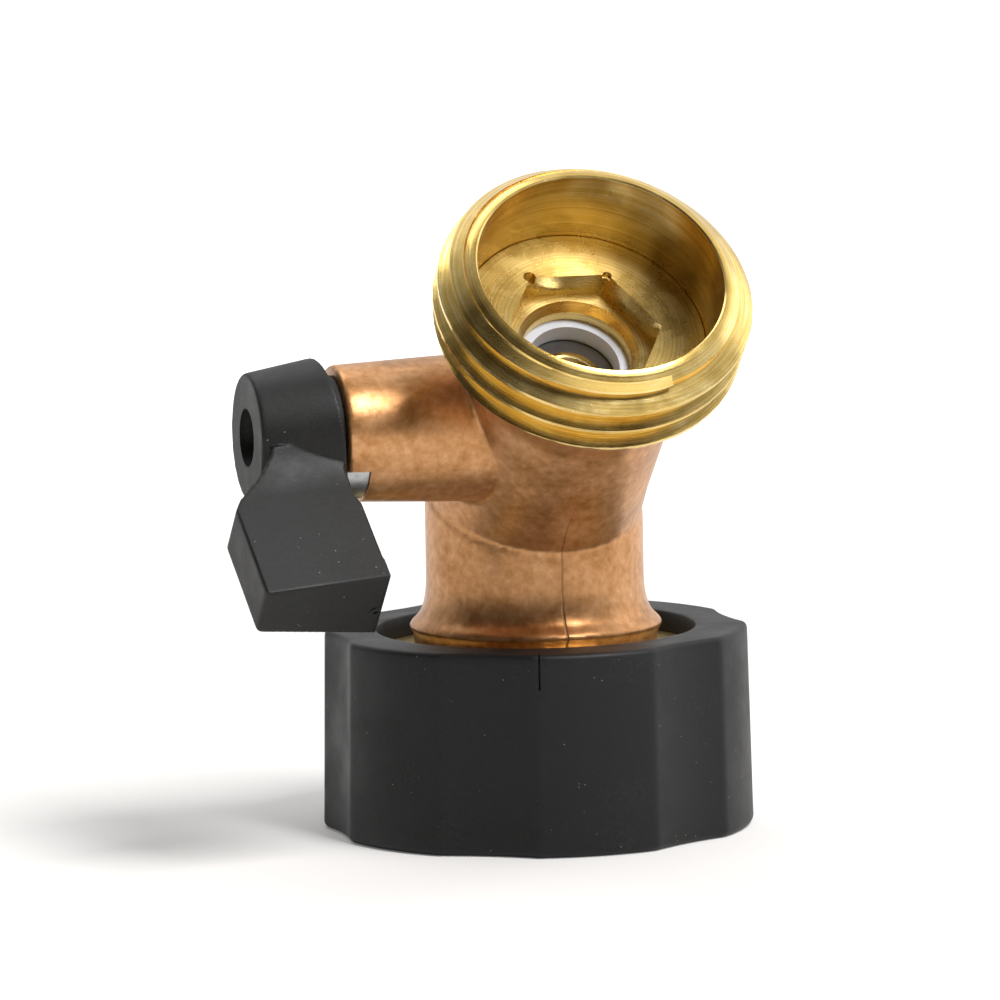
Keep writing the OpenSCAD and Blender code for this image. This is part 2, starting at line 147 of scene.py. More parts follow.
def prism(name, outline, low, high):
    """A closed outline of (x, y) points in mm, drawn up from one height to the other."""
    deselect()
    bpy.ops.mesh.primitive_circle_add(vertices=len(outline), radius=MM, fill_type="NGON")
    obj = bpy.context.object
    obj.name = name
    for v, (x, y) in zip(obj.data.vertices, outline):
        v.co = (x * MM, y * MM, low * MM)
    edit(obj)
    bpy.ops.mesh.extrude_region_move(TRANSFORM_OT_translate={"value": (0, 0, (high - low) * MM)})
    tidy_normals()
    return obj


def use(obj, kind, **settings):
    """Adds a modifier with its settings and applies it."""
    pick(obj)
    mod = obj.modifiers.new(kind.title(), kind)
    for key, value in settings.items():
        setattr(mod, key, value)
    bpy.ops.object.modifier_apply(modifier=mod.name)
    return obj


def combine(obj, other, operation="DIFFERENCE"):
    """Boolean of obj with other, which is used up."""
    use(obj, "BOOLEAN", operation=operation, object=other, solver="MANIFOLD")
    bpy.data.objects.remove(other)
    return obj


def join(obj, *others):
    """Joins the others' meshes into obj."""
    pick(obj)
    for o in others:
        o.select_set(True)
    bpy.ops.object.join()
    return obj


def slice_off(obj, point, normal):
    """Cuts obj at a plane in mm, drops the side the normal points to and closes the cut."""
    edit(obj)
    bpy.ops.mesh.bisect(plane_co=Vector(point) * MM, plane_no=normal, use_fill=True, clear_outer=True)
    tidy_normals()
    return obj


def soften(obj, voxel, rounds, factor=0.5):
    """Fuses the shells of a moulded or cast piece and rounds its edges, as its mould does."""
    use(obj, "REMESH", mode="VOXEL", voxel_size=voxel * MM, use_smooth_shade=True)
    return use(obj, "SMOOTH", factor=factor, iterations=rounds)


def smooth(obj, angle=30):
    """Shades obj smooth, with edges kept above the angle in degrees."""
    pick(obj)
    bpy.ops.object.shade_smooth_by_angle(angle=math.radians(angle))
    return obj


def coil(name, root, crest, start, turns, keep=None, steps=220):
    """One helical ridge of the hose thread about +Z.

    root and crest are radii in mm, start is the height of its middle at +X, turns its length, and
    keep(radius, height, angle) may hold a point back.
    """
    half_root, half_crest = (PITCH - 0.3) / 2, 0.16
    sink = -0.25 if crest > root else 0.25
    outline = [(root + sink, -half_root), (root, -half_root), (crest, -half_crest), (crest, half_crest),
               (root, half_root), (root + sink, half_root)]
    deselect()
    bpy.ops.mesh.primitive_circle_add(vertices=len(outline), radius=MM, fill_type="NOTHING")
    obj = bpy.context.object
    obj.name = name
    for v, (r, z) in zip(obj.data.vertices, outline):
        v.co = (r * MM, 0, (start + z) * MM)
    edit(obj, "EDGE")
    bpy.ops.mesh.subdivide(number_cuts=3)
    bpy.ops.object.mode_set(mode="OBJECT")
    use(obj, "SCREW", angle=math.tau * turns, screw_offset=PITCH * turns * MM, iterations=1,
        steps=int(steps * turns), render_steps=int(steps * turns), axis="Z", use_normal_calculate=True)
    if keep:
        def hold(x, y, z):
            a = math.atan2(y, x)
            r, h = keep(math.hypot(x, y), z, a)
            return math.cos(a) * r, math.sin(a) * r, h
        reshape(obj, hold)
    edit(obj)
    bpy.ops.mesh.fill_holes(sides=0)
    bpy.ops.mesh.select_all(action="SELECT")
    bpy.ops.mesh.normals_make_consistent(inside=False)
    bpy.ops.object.mode_set(mode="OBJECT")
    return obj


def reshape(obj, move):
    """Sends each vertex, in mm, through move(x, y, z)."""
    for v in obj.data.vertices:
        v.co = Vector(move(*(v.co / MM))) * MM
    return obj


def finish_piece(obj, body, slot_name, material, *replaced, angle=30):
    """Settles a piece: smooth shading, material, body and the CAD nodes it stands for; slot_name is not used.
    """
    smooth(settle(obj), angle)
    obj.data.materials.clear()
    obj.data.materials.append(material)
    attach(obj, body)
    if replaced:
        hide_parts(*replaced)
    return obj


# ---------------------------------------------------------------- materials

def linear(hex_colour):
    """sRGB hex to linear RGBA."""
    parts = [int(hex_colour[i:i + 2], 16) / 255 for i in (1, 3, 5)]
    return tuple(p / 12.92 if p <= 0.04045 else ((p + 0.055) / 1.055) ** 2.4 for p in parts) + (1.0,)


def node(tree, kind, links=(), **settings):
    """Adds a node. A setting that names an input fills it; links are (input, output socket) pairs."""
    n = tree.nodes.new(kind)
    for key, value in settings.items():
        if hasattr(n, key):
            setattr(n, key, value)
        else:
            n.inputs[key.replace("_", " ")].default_value = value
    for key, source in links:
        tree.links.new(source, n.inputs[key])
    return n


def material(name, colour, metallic, roughness, ior=1.5, **more):
    """A principled material and its tree, shader and object coordinates."""
    m = bpy.data.materials.new(name)
    m.use_nodes = True
    shader = m.node_tree.nodes["Principled BSDF"]
    shader.inputs["Base Color"].default_value = linear(colour)
    shader.inputs["Metallic"].default_value = metallic
    shader.inputs["Roughness"].default_value = roughness
    if metallic < 1:
        shader.inputs["IOR"].default_value = ior
    for key, value in more.items():
        shader.inputs[key.replace("_", " ")].default_value = value
    place = node(m.node_tree, "ShaderNodeTexCoord").outputs["Object"]
    return m, m.node_tree, shader, place


def ramp(tree, source, stops):
    """Colour ramp: stops are (position, sRGB hex)."""
    r = node(tree, "ShaderNodeValToRGB", [("Fac", source)])
    while len(r.color_ramp.elements) < len(stops):
        r.color_ramp.elements.new(0.5)
    for e, (position, colour) in zip(r.color_ramp.elements, stops):
        e.position, e.color = position, linear(colour)
    return r.outputs["Color"]


def noise(tree, place, size_mm, detail=3.0, roughness=0.5):
    """Noise whose grain is about size_mm wide."""
    return node(tree, "ShaderNodeTexNoise", [("Vector", place)], Scale=1000 / size_mm, Detail=detail,
                Roughness=roughness).outputs["Fac"]


def spread(tree, source, low, high, from_low=0.3, from_high=0.7):
    """Maps a pattern from one range to another."""
    return node(tree, "ShaderNodeMapRange", [("Value", source)], From_Min=from_low, From_Max=from_high,
                To_Min=low, To_Max=high).outputs["Result"]


def maths(tree, operation, *terms):
    """A maths node's value: each term is an output socket or a number."""
    n = node(tree, "ShaderNodeMath", operation=operation)
    for socket, term in zip(n.inputs, terms):
        if isinstance(term, (int, float)):
            socket.default_value = term
        else:
            tree.links.new(term, socket)
    return n.outputs["Value"]


def blend(tree, first, second, share):
    """Mixes two patterns; share is the second's part."""
    return node(tree, "ShaderNodeMix", [("A", first), ("B", second)], data_type="FLOAT",
                Factor=share).outputs["Result"]


def stain(tree, amount, base, colour):
    """Lays a plain sRGB hex colour over base, as far as amount says."""
    n = node(tree, "ShaderNodeMix", data_type="RGBA")
    tree.links.new(amount, n.inputs["Factor"])
    tree.links.new(base, n.inputs["A"])
    n.inputs["B"].default_value = linear(colour)
    return n.outputs["Result"]


def bump(tree, shader, source, depth_mm, strength=1.0, under=None):
    """Relief of a given depth, over an earlier one if given."""
    links = [("Height", source)] + ([("Normal", under)] if under else [])
    b = node(tree, "ShaderNodeBump", links, Strength=strength, Distance=depth_mm * MM)
    tree.links.new(b.outputs["Normal"], shader.inputs["Normal"])
    return b.outputs["Normal"]


def turned_place(tree, place, matrix):
    """Coordinates of a turned piece in mm: (radius, length, 0), with matrix the frame of its axis."""
    back = matrix.inverted()
    m = node(tree, "ShaderNodeMapping", [("Vector", place)], Location=back.translation[:],
             Rotation=back.to_euler()[:])
    s = node(tree, "ShaderNodeSeparateXYZ", [("Vector", m.outputs["Vector"])])
    flat = node(tree, "ShaderNodeCombineXYZ", [("X", s.outputs["X"]), ("Y", s.outputs["Y"])])
    r = node(tree, "ShaderNodeVectorMath", [(0, flat.outputs["Vector"])], operation="LENGTH").outputs["Value"]
    rings = node(tree, "ShaderNodeCombineXYZ", [("X", r), ("Y", s.outputs["Z"])])
    return rings.outputs["Vector"], m.outputs["Vector"]


def make_materials(finish):
    """Every finish of the valve, by name."""
    made = {}

    # Copper-pigment enamel over a forged brass casting: metallic flake in a semi-gloss film, with the
    # orange-peel and blotches of a dipped or sprayed coat.
    m, tree, shader, place = material("copper_enamel_on_brass", "#C18C5B", 0.72, 0.36)
    blotch = noise(tree, place, 3.2, 4, 0.55)
    grain = noise(tree, place, 0.75, 3, 0.6)
    tone = blend(tree, spread(tree, blotch, 0, 1), spread(tree, grain, 0, 1), 0.45)
    coat = ramp(tree, tone, [(0.12, finish.paint_dark), (0.5, finish.paint), (0.9, finish.paint_light)])
    tree.links.new(spread(tree, blotch, 0.33, 0.41), shader.inputs["Roughness"])
    skin = bump(tree, shader, grain, 0.045, 0.55)
    # parting line of the forging dies, in the plane of neck and branch, on the front only
    s = node(tree, "ShaderNodeSeparateXYZ", [("Vector", place)])
    wander = maths(tree, "ADD", s.outputs["X"], spread(tree, blotch, -0.00012, 0.00012))
    # it lies a little to the left of the middle
    away = maths(tree, "ABSOLUTE", maths(tree, "ADD", wander, 0.00035))
    line = node(tree, "ShaderNodeMapRange", [("Value", away)], interpolation_type="SMOOTHSTEP",
                From_Min=0.0, From_Max=0.00017, To_Min=1.0, To_Max=0.0).outputs["Result"]
    front = spread(tree, s.outputs["Y"], 1.0, 0.0, -0.006, -0.003)
    low = spread(tree, s.outputs["Z"], 1.0, 0.15, 0.0255, 0.0290)
    seam = maths(tree, "MULTIPLY", maths(tree, "MULTIPLY", line, front), low)
    bump(tree, shader, maths(tree, "MULTIPLY", seam, -1.0), 0.06, 0.8, skin)
    stained = stain(tree, maths(tree, "MULTIPLY", seam, 0.38), coat, "#3A2416")
    tree.links.new(stained, shader.inputs["Base Color"])
    made["paint"] = m

    def brass(name, colour, roughness, matrix, line_mm, depth_mm, dark, light):
        """Brass cut on a lathe: bright, with fine rings about its axis and a few tarnish blotches."""
        m, tree, shader, place = material(name, colour, 1.0, roughness, Anisotropic=0.65,
                                          Anisotropic_Rotation=0.25)
        rings, own = turned_place(tree, place, matrix)
        # the tool's marks run round the axis, so highlights stretch across them
        arm = node(tree, "ShaderNodeVectorMath", [(0, place)], operation="SUBTRACT")
        arm.inputs[1].default_value = matrix.translation
        around = node(tree, "ShaderNodeVectorMath", [(0, arm.outputs["Vector"])], operation="CROSS_PRODUCT")
        around.inputs[1].default_value = matrix.to_3x3() @ Vector((0, 0, 1))
        around = node(tree, "ShaderNodeVectorMath", [(0, around.outputs["Vector"])], operation="NORMALIZE")
        tree.links.new(around.outputs["Vector"], shader.inputs["Tangent"])
        fine = noise(tree, rings, line_mm, 2, 0.6)
        broad = noise(tree, rings, line_mm * 6, 2, 0.5)
        tarnish = noise(tree, own, 2.4, 4, 0.6)
        tone = blend(tree, spread(tree, tarnish, 0, 1), spread(tree, fine, 0, 1), 0.7)
        tree.links.new(ramp(tree, tone, [(0.1, dark), (0.5, colour), (0.95, light)]),
                       shader.inputs["Base Color"])
        tree.links.new(spread(tree, tarnish, roughness - 0.02, roughness + 0.05), shader.inputs["Roughness"])
        under = bump(tree, shader, broad, depth_mm * 1.5, 0.5)
        under = bump(tree, shader, fine, depth_mm, 0.6, under)
        # chatter and small tears left by the thread tool
        bump(tree, shader, noise(tree, own, 0.28, 2, 0.7), depth_mm * 1.2, 0.2, under)
        return m

    made["thread"] = brass("turned_brass_outlet", finish.brass, 0.23, ON_BRANCH, 0.16, 0.012,
                           finish.brass_dark, finish.brass_light)
    made["retainer"] = brass("turned_brass_retainer", finish.brass, 0.26, ON_BRANCH, 0.14, 0.010,
                             finish.brass_dark, finish.brass_light)
    made["insert"] = brass("turned_brass_insert", "#D8C07A", 0.30, Matrix.Identity(4), 0.16, 0.010,
                           "#B89A50", "#F2E6BE")
    made["stem"] = brass("turned_brass_stem", finish.brass, 0.3, ON_STEM, 0.14, 0.008,
                         finish.brass_dark, finish.brass_light)

    def moulded(name, colour, worn, roughness, dust):
        """Glass-filled nylon as moulded: satin black, fine spark texture, paler scuffs, specks of dust."""
        m, tree, shader, place = material(name, colour, 0.0, roughness, 1.52, Specular_IOR_Level=0.32)
        scuff = noise(tree, place, 5.0, 6, 0.65)
        speck = node(tree, "ShaderNodeTexVoronoi", [("Vector", place)], Scale=1000 / 0.85, Randomness=1.0)
        near = spread(tree, speck.outputs["Distance"], 1.0, 0.0, 0.03, 0.075)
        some = spread(tree, noise(tree, place, 2.6, 2), 0.0, 1.0, 0.52, 0.56)
        dots = maths(tree, "MULTIPLY", near, some)
        fleck = noise(tree, place, 0.32, 2, 0.7)
        base = ramp(tree, blend(tree, scuff, fleck, 0.4),
                    [(0.38, colour), (0.56, worn), (0.72, finish.plastic_scuff)])
        dusty = stain(tree, maths(tree, "MULTIPLY", dots, dust), base, finish.dust)
        tree.links.new(dusty, shader.inputs["Base Color"])
        tree.links.new(spread(tree, scuff, roughness - 0.05, roughness + 0.12), shader.inputs["Roughness"])
        under = bump(tree, shader, noise(tree, place, 0.22, 2, 0.6), 0.02, 0.7)
        bump(tree, shader, scuff, 0.05, 0.25, under)
        return m

    made["nut"] = moulded("moulded_nylon_nut", finish.plastic, "#121213", 0.48, 0.6)
    made["lever"] = moulded("moulded_nylon_lever", finish.lever, "#151413", 0.50, 0.9)

    # PTFE: white, waxy and slightly translucent
    m, tree, shader, place = material("ptfe", "#CDD1DA", 0.0, 0.42, 1.35, Subsurface_Weight=0.15)
    shader.inputs["Subsurface Radius"].default_value = (0.001, 0.001, 0.001)
    bump(tree, shader, noise(tree, place, 0.4), 0.01, 0.4)
    made["ptfe"] = m

    # Chrome plate on a brass ball: mirror-bright with the faintest polishing haze
    m, tree, shader, place = material("chrome_plate", "#A6A8AE", 1.0, 0.06)
    tree.links.new(spread(tree, noise(tree, place, 1.5, 4), 0.04, 0.11), shader.inputs["Roughness"])
    made["chrome"] = m

    # Zinc plate on pressed steel: pale grey, softly bright, with a light spangle
    m, tree, shader, place = material("zinc_plated_steel", "#C6CACB", 1.0, 0.30)
    haze = noise(tree, place, 0.9, 4)
    tree.links.new(spread(tree, haze, 0.22, 0.40), shader.inputs["Roughness"])
    tree.links.new(ramp(tree, haze, [(0.3, "#B3B6B6"), (0.7, "#DADDDE")]), shader.inputs["Base Color"])
    bump(tree, shader, haze, 0.01, 0.4)
    made["zinc"] = m

    # The stop plate: bright zinc on its tab; its disc between boss and hub is painted shade, near black,
    # rough and not metallic, standing for the dark of the deep gap there
    m, tree, shader, place = material("zinc_plate_painted_shade", "#C6CACB", 1.0, 0.30)
    haze = noise(tree, place, 0.9, 4)
    bright = ramp(tree, haze, [(0.3, "#B3B6B6"), (0.7, "#E4E7E8")])
    along = node(tree, "ShaderNodeSeparateXYZ", [("Vector", place)]).outputs["X"]
    # painted shade: the part of the plate inside the gap, found by its place along the stem, is darkened
    gap_shade = spread(tree, along, 0.0, 1.0, -0.01995, -0.0201)
    tree.links.new(stain(tree, gap_shade, bright, "#141210"), shader.inputs["Base Color"])
    tree.links.new(spread(tree, gap_shade, 0.28, 0.7, 0.0, 1.0), shader.inputs["Roughness"])
    tree.links.new(spread(tree, gap_shade, 1.0, 0.0, 0.0, 1.0), shader.inputs["Metallic"])
    bump(tree, shader, haze, 0.01, 0.4)
    made["plate"] = m

    # Nitrile rubber: soft black with a faint bloom
    m, tree, shader, place = material("nitrile_rubber", "#1E1E1F", 0.0, 0.62, 1.52)
    bloom = noise(tree, place, 1.8, 4)
    tree.links.new(ramp(tree, bloom, [(0.35, "#191919"), (0.75, "#2E2E2E")]), shader.inputs["Base Color"])
    bump(tree, shader, bloom, 0.02, 0.3)
    made["rubber"] = m
    return made


FINISH = {}


# ---------------------------------------------------------------- properties

class ValveSizes(bpy.types.PropertyGroup):
    """Sizes of the visible detail, in metres"""
    nut_fillet: bpy.props.FloatProperty(
        name="Nut fillet", description="Radius of the nut's top and bottom edges",
        default=0.0006, unit="LENGTH")
    flute_depth: bpy.props.FloatProperty(
        name="Flute depth", description="Depth of the nut's flutes below its lobes",
        default=0.0009, unit="LENGTH")
    cast_grain: bpy.props.FloatProperty(
        name="Casting grain", description="Voxel size that fuses the forged body",
        default=0.00024, unit="LENGTH")
    lever_grain: bpy.props.FloatProperty(
        name="Lever grain", description="Voxel size that fuses the moulded lever",
        default=0.00016, unit="LENGTH")
    thread_crest: bpy.props.FloatProperty(
        name="Thread crest", description="Crest radius of the outlet's thread",
        default=0.01349, unit="LENGTH")


class ValveFinish(bpy.types.PropertyGroup):
    """Colours, as sRGB hex"""
    paint: bpy.props.StringProperty(
        name="Paint", description="Middle tone of the copper enamel", default="#C18C5B")
    paint_dark: bpy.props.StringProperty(name="Paint, dark", description="Dark blotches", default="#A4723F")
    paint_light: bpy.props.StringProperty(name="Paint, light", description="Pale blotches", default="#D9A676")
    brass: bpy.props.StringProperty(name="Brass", description="Bare turned brass", default="#E6C472")
    brass_dark: bpy.props.StringProperty(
        name="Brass, dark", description="Tarnish on the brass", default="#CBA95C")
    brass_light: bpy.props.StringProperty(
        name="Brass, light", description="Fresh cuts in the brass", default="#F6E4AC")
    plastic: bpy.props.StringProperty(name="Nut", description="Black plastic of the nut", default="#0C0D0E")
    lever: bpy.props.StringProperty(name="Lever", description="Black plastic of the lever", default="#0B0A0A")
    plastic_scuff: bpy.props.StringProperty(name="Scuff", description="Rubbed patches", default="#222120")
    dust: bpy.props.StringProperty(name="Dust", description="Specks of dust", default="#A39B8C")


# ---------------------------------------------------------------- pieces

class VALVE_OT_nut(bpy.types.Operator):
    """Hand nut with six lobes and six hollow flutes"""
    bl_idname = "valve.nut"
    bl_label = "Hand nut"

    def execute(self, context):
        sizes = context.scene.valve_sizes
        fillet, depth = sizes.nut_fillet / MM, sizes.flute_depth / MM
        draft = math.tan(math.radians(NUT_DRAFT))
        side = [(NUT_R - fillet * (1 - math.sin(a)), fillet * (1 - math.cos(a)))
                for a in map(math.radians, QUARTER_STEPS)]
        top_f = 0.45
        rows = [(NUT_R - draft * z, z) for z in (2, 4, 6, 8, 10, 12, 14, 15.6, 16.6)]
        top_r = NUT_R - draft * NUT_H
        lip = [(top_r - top_f * (1 - math.cos(a)), NUT_H - top_f * (1 - math.sin(a)))
               for a in map(math.radians, QUARTER_STEPS)]
        inner = [(17.4, NUT_H), (16.6, NUT_H), (15.6, NUT_H), (14.6, NUT_H), (14.2, NUT_H),
                 (14.06, NUT_H - 0.06), (14.0, NUT_H - 0.2), (14.0, 15.72), (15.2, 15.7), (15.2, 0.0),
                 (16.2, 0.0), (17.4, 0.0)]
        nut = turned("hand_nut", side + rows + lip + inner, 360, ring=True)
        far = NUT_R + FLUTE_R - depth

        def flute(x, y, z):
            r, a = math.hypot(x, y), math.atan2(y, x)
            if r < NUT_RIM_R:
                return x, y, z
            t = (a + math.radians(90) - math.radians(30)) % LOBE_A
            t = min(t, LOBE_A - t)
            under = FLUTE_R ** 2 - (far * math.sin(t)) ** 2
            drop = 0.0
            if under > 0:
                drop = NUT_R - (far * math.cos(t) - math.sqrt(under))
                drop = 0.5 * (drop + math.sqrt(drop * drop + 0.0016)) if drop > -0.5 else 0.0
            share = min(1.0, (r - NUT_RIM_R) / 1.9)
            k = (r - drop * share * share * (3 - 2 * share)) / r
            return x * k, y * k, z

        reshape(nut, flute)

        # mould seam beside the front lobe: a fine rib down the side, nicked at the top edge
        seam, rib_w = math.radians(-90 - 15.5), 0.45

        def rib(x, y, z):
            r, a = math.hypot(x, y), math.atan2(y, x)
            gap = abs((a - seam + math.pi) % math.tau - math.pi) * r
            if r > NUT_RIM_R and gap < rib_w:
                near = 1 - gap / rib_w
                lift = 0.05 * near - (0.16 * near if z > 14.6 else 0.0)
                return x * (1 + lift / r), y * (1 + lift / r), z
            return x, y, z

        reshape(nut, rib)
        bpy.ops.mesh.primitive_cube_add(size=1)
        nick = bpy.context.object
        nick.scale = (1.2 * MM, 0.16 * MM, 3.4 * MM)
        spin = Matrix.Rotation(seam, 4, "Z") @ Matrix.Translation(((NUT_R - rib_w) * MM, 0, 16.2 * MM))
        combine(nut, settle(nick, spin))
        finish_piece(nut, "inlet_nut", "nut_plastic", FINISH["nut"], "nut_grip", angle=35)
        return {"FINISHED"}


class VALVE_OT_insert(bpy.types.Operator):
    """Brass insert with the female hose thread"""
    bl_idname = "valve.insert"
    bl_label = "Threaded insert"

    def execute(self, context):
        ring = turned("threaded_insert", [(15.15, 0.05), (15.15, 15.65), (10.0, 15.65), (9.62, 15.55),
                                          (9.5, 15.4), (9.5, 13.7), (12.75, 13.7), (12.75, 7.5),
                                          (FEMALE_ROOT, 7.3), (FEMALE_ROOT, 0.8), (14.2, 0.05)],
                      192, ring=True)

        def run_out(r, z, a):
            """Fades the ridge into the chamfered foot and under the washer."""
            return max(r, 14.2 - 1.0 * z, FEMALE_CREST + 1.6 * (z - 6.6)), min(max(z, 0.3), 7.25)

        thread = coil("female_thread", FEMALE_ROOT, FEMALE_CREST, -0.2, 3.3, run_out)
        join(ring, thread)
        finish_piece(ring, "inlet_nut", "insert_brass", FINISH["insert"], "nut_insert", angle=25)
        return {"FINISHED"}


class VALVE_OT_body(bpy.types.Operator):
    """Painted forging: spigot, flared neck, branch and stem boss"""
    bl_idname = "valve.body"
    bl_label = "Painted body"

    def execute(self, context):
        grain = context.scene.valve_sizes.cast_grain / MM
        neck = [(9.4, 9.6), (9.4, 15.75), (10.66, 15.76), (10.68, 17.1), (10.9, 17.4), (11.15, 17.65),
                (11.1, 17.9), (10.74, 18.3)]
        neck += [(9.55 + 1.3 * (1 - math.sin(a)), 18.35 + 3.6 * (1 - math.cos(a)))
                 for a in (math.radians(d) for d in (10, 20, 30, 40, 50, 60, 70, 80, 90))]
        neck += [(9.55, 24), (9.55, 29), (9.55, 42)]
        body = turned("painted_body", neck, 128)
        half_bend = math.radians(22.5)
        slice_off(body, (0, 0, BEND_Z), (0, -math.sin(half_bend), math.cos(half_bend)))
        barrel = [(9.55, -12), (9.5, -4), (9.3, 3), (9.22, 6), (9.35, 14), (9.42, 17.2), (9.55, 17.9),
                  (10.1, 19.1), (11.2, 21.0), (12.0, FLARE_END - 0.25), (THREAD_ROOT, FLARE_END + 2)]
        branch = settle(turned("branch", barrel, 128), ON_BRANCH)
        slice_off(branch, (0, 0, BEND_Z), (0, math.sin(half_bend), -math.cos(half_bend)))
        boss = turned("boss", [(6.6, 0.5), (6.28, 11), (5.87, BOSS_L)], 128)
        join(body, branch, settle(boss, ON_STEM))
        soften(body, grain, 10)
        slice_off(body, (0, 0, 10.4), (0, 0, -1))
        out = ON_BRANCH.to_3x3() @ Vector((0, 0, 1))
        end = (ON_BRANCH @ Vector((0, 0, FLARE_END * MM))) / MM
        slice_off(body, end, out)
        # waterway, ball chamber, retainer thread and mouth, drilled and bored
        bore = turned("waterway", [(6.5, 8), (6.5, 18.3), (5.2, 20.3), (5.2, BEND_Z + 1.5)], 96)
        combine(body, bore)
        chamber = turned("chamber", [(4.8, -1.5), (4.8, 2.3), (7.8, 2.31), (7.8, 18.5), (8.4, 18.52),
                                     (8.4, 21.4), (10.66, 21.41), (10.66, BRANCH_L)], 96)
        combine(body, settle(chamber, ON_BRANCH))
        gland = turned("gland", [(3.5, 3), (3.5, 14.25), (4.6, 14.26), (4.6, BOSS_L + 1)], 96)
        combine(body, settle(gland, ON_STEM))
        # notch of the lever's stop: from just ahead of the tab when shut to just behind it when open
        a0, a1 = math.radians(NOTCH_FROM), math.radians(NOTCH_TO)
        reach, steps = 8, 24
        angles = [a0 + (a1 - a0) * i / steps for i in range(steps + 1)]
        arc = [(reach * math.cos(a), reach * math.sin(a)) for a in angles]
        notch = prism("notch", [(0, 0)] + arc, BOSS_L - 2, BOSS_L + 1)
        combine(body, settle(notch, ON_STEM))
        finish_piece(body, "valve_body", "body_paint", FINISH["paint"], "body", angle=42)
        return {"FINISHED"}


class VALVE_OT_outlet(bpy.types.Operator):
    """Bare brass outlet with its right-hand hose thread"""
    bl_idname = "valve.outlet"
    bl_label = "Outlet thread"

    def execute(self, context):
        crest = context.scene.valve_sizes.thread_crest / MM
        root, face, bore = THREAD_ROOT, MOUTH_FACE_R, MOUTH_R
        end = BRANCH_L
        ring = turned("brass_outlet", [(bore, FLARE_END), (11.5, FLARE_END), (12.0, FLARE_END),
                                       (root, FLARE_END + 0.1), (root, end - 0.78), (face + 0.05, end - 0.22),
                                       (face - 0.06, end - 0.13), (bore + 0.14, end), (bore, end - 0.1),
                                       (bore, end - 2), (bore, end - 4), (bore, end - 6)], 256, ring=True)
        jag = mathutils.noise.noise

        def cut_back(r, z, a):
            """Holds the ridge inside the chamfers at both ends, with a torn, uneven crest."""
            depth = end - z
            limit = min(face + depth, 12.0 + 1.65 * (thread_end - depth))
            if r > root + 0.8:
                r += 0.045 * jag(Vector((math.cos(a) * 30, math.sin(a) * 30, z * 1.2)))
            return max(min(r, limit), root - 0.3), min(max(z, end - thread_end + 0.02), end - 0.35)

        thread_end = BRANCH_L - FLARE_END
        # the ridge's middle passes FIRST_CREST below the mouth at the branch's underside
        first = end - (FIRST_CREST - PITCH / 4 + 3 * PITCH)
        thread = coil("thread", root, crest, first, 3.8, cut_back)
        join(ring, thread)
        settle(ring, ON_BRANCH)
        finish_piece(ring, "valve_body", "outlet_brass", FINISH["thread"], angle=25)
        return {"FINISHED"}


class VALVE_OT_retainer(bpy.types.Operator):
    """Seat retainer with its hexagon socket"""
    bl_idname = "valve.retainer"
    bl_label = "Seat retainer"

    def execute(self, context):
        top, low = FLOOR_L, BALL_L + 8.12
        piece = turned("seat_retainer_ring", [(4.8, low), (8.3, low), (8.35, low + 0.1), (8.35, 21.39),
                                              (10.5, 21.4), (10.6, 21.5), (10.6, top - 0.06), (10.54, top),
                                              (4.8, top)], 192, ring=True)
        # the hole is opened to a chamfer below the socket
        cone = turned("cone", [(4.79, top - 3.4), (5.35, top - 2.4), (5.35, top + 1)], 128)
        combine(piece, cone)
        corner = SOCKET_AF / math.sqrt(3)
        hexagon = [(corner * math.cos(math.radians(60 * i)), corner * math.sin(math.radians(60 * i)))
                   for i in range(6)]
        combine(piece, prism("socket", hexagon, top - 2.5, top + 1))
        # drilled reliefs at two corners of the socket
        for x, y, wide, deep in ((-3.5, 6.1, 0.55, 0.9), (3.4, 5.9, 0.4, 0.5)):
            relief = turned("relief", [(wide, top - deep), (wide, top + 1)], 32)
            relief.location = (x * MM, y * MM, 0)
            combine(piece, settle(relief))
        settle(piece, ON_BRANCH)
        finish_piece(piece, "valve_body", "retainer_brass", FINISH["retainer"], "seat_retainer", angle=25)
        return {"FINISHED"}


